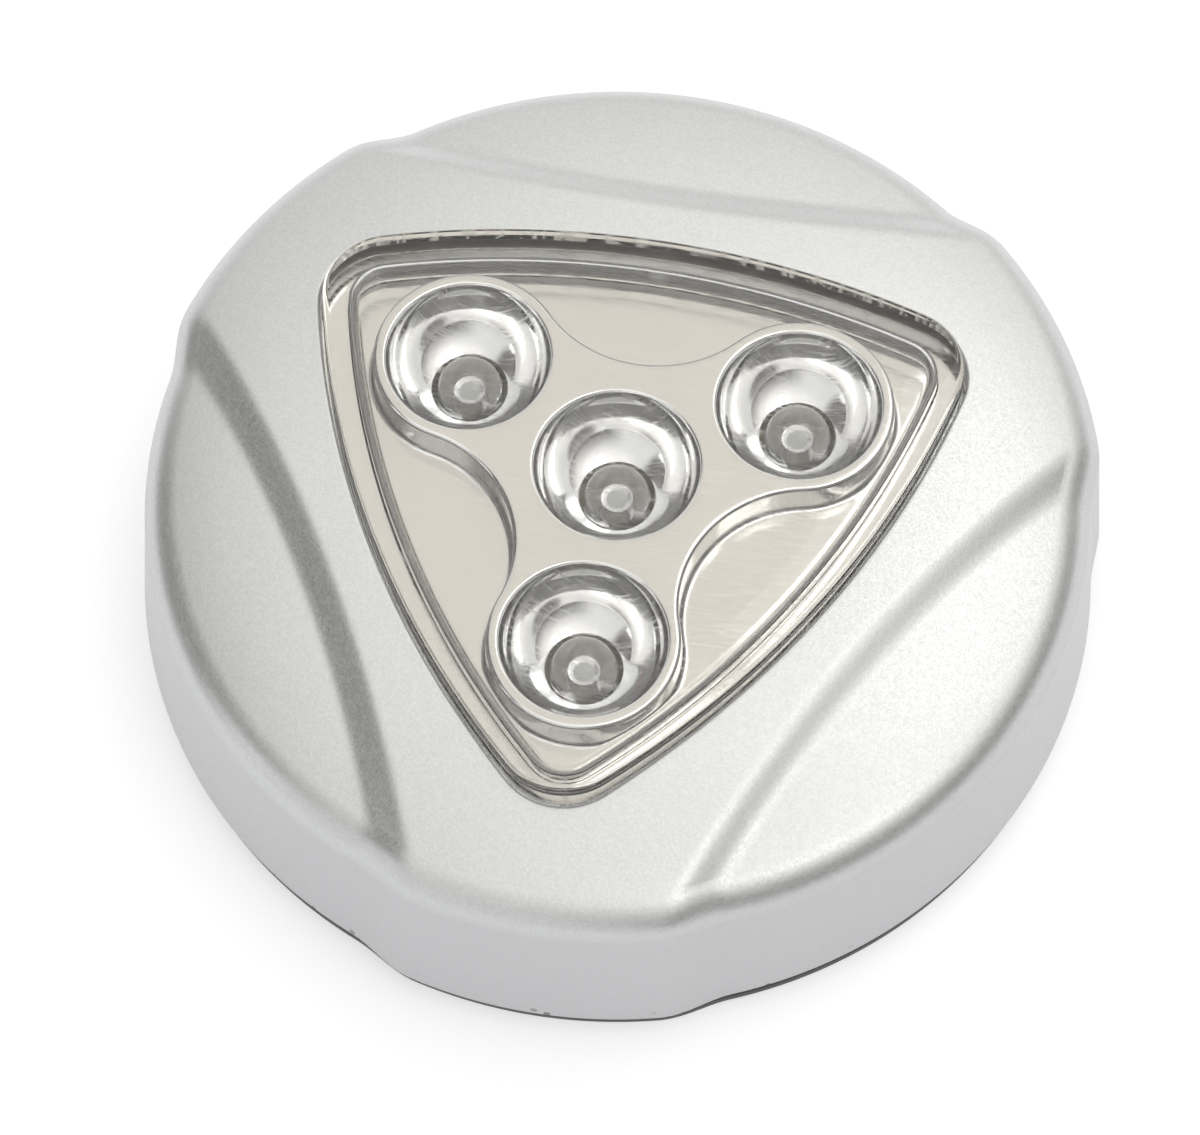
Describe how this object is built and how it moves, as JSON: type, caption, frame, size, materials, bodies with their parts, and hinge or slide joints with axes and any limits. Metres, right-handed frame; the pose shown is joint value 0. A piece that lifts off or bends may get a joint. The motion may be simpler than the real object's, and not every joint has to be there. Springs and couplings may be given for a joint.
{
  "type": "cabinet light",
  "caption": "Round press-on battery light: a silver cover floats on springs round a clear rounded-triangle lens over LEDs in mirror bowls, on a bayonet back plate with an adhesive pad.",
  "frame": {"origin": "on the light's axis, on the flat back face of the adhesive pad, which is stuck to the cabinet", "axes": "+Z out of the cabinet towards the lens; the raised lobes point to -90, 30 and 150 degrees about +Z, counted from +X, so one lobe points along -Y"},
  "size_m": [0.0728, 0.074, 0.0208],
  "materials": {
    "silver_paint": "satin",
    "clear_plastic": "polished",
    "clear_epoxy": "polished",
    "chrome_plating": "polished",
    "dark_grey_plastic": "satin",
    "black_plastic": "satin",
    "white_foam": "matte",
    "cell_wrap": "satin",
    "nickel_plating": "satin",
    "zinc_steel": "satin",
    "board_paper": "satin",
    "resistor_beige": "satin",
    "switch_white": "satin",
    "wire_red": "satin",
    "wire_black": "satin"
  },
  "bodies": {
    "back": {"foam_pad": "white_foam", "base_plate": "dark_grey_plastic"},
    "housing": {"base_housing": "black_plastic", "led_board": "board_paper", "switch_body": "switch_white", "contact_link_1": "nickel_plating", "contact_link_2": "nickel_plating", "terminal_positive": "nickel_plating", "terminal_negative": "nickel_plating", "contact_spring_1": "nickel_plating", "contact_spring_2": "nickel_plating", "contact_spring_3": "nickel_plating", "resistor_1": "resistor_beige", "resistor_2": "resistor_beige", "led_1": "clear_epoxy", "led_2": "clear_epoxy", "led_3": "clear_epoxy", "led_4": "clear_epoxy", "battery_1": "cell_wrap", "battery_2": "cell_wrap", "battery_3": "cell_wrap", "board_screw_1": "zinc_steel", "board_screw_2": "zinc_steel", "board_screw_3": "zinc_steel", "return_spring_1": "zinc_steel", "return_spring_2": "zinc_steel", "return_spring_3": "zinc_steel", "wire_red": "wire_red", "wire_black": "wire_black"},
    "cover": {"front_cover": "silver_paint", "lens": "clear_plastic", "reflector": "chrome_plating", "guide_screw_1": "zinc_steel", "guide_screw_2": "zinc_steel", "guide_screw_3": "zinc_steel"},
    "plunger": {"switch_plunger": "black_plastic"}
  },
  "joints": [
    {"name": "twist", "type": "hinge", "parent": "back", "child": "housing", "pos_m": [0, 0, 0], "axis": [0, 0, 1], "range_deg": [0, 22]},
    {"name": "press", "type": "slide", "parent": "housing", "child": "cover", "axis": [0, 0, -1], "range_m": [0, 0.0011], "stiffness_N_per_m": 1200, "springref_m": -0.0012, "deforming": ["return_spring_1", "return_spring_2", "return_spring_3"]},
    {"name": "plunger", "type": "slide", "parent": "housing", "child": "plunger", "axis": [0, 0, -1], "range_m": [0, 0.0011]}
  ],
  "couplings": [
    {"joint": "plunger", "follows": "press", "ratio": 1}
  ]
}
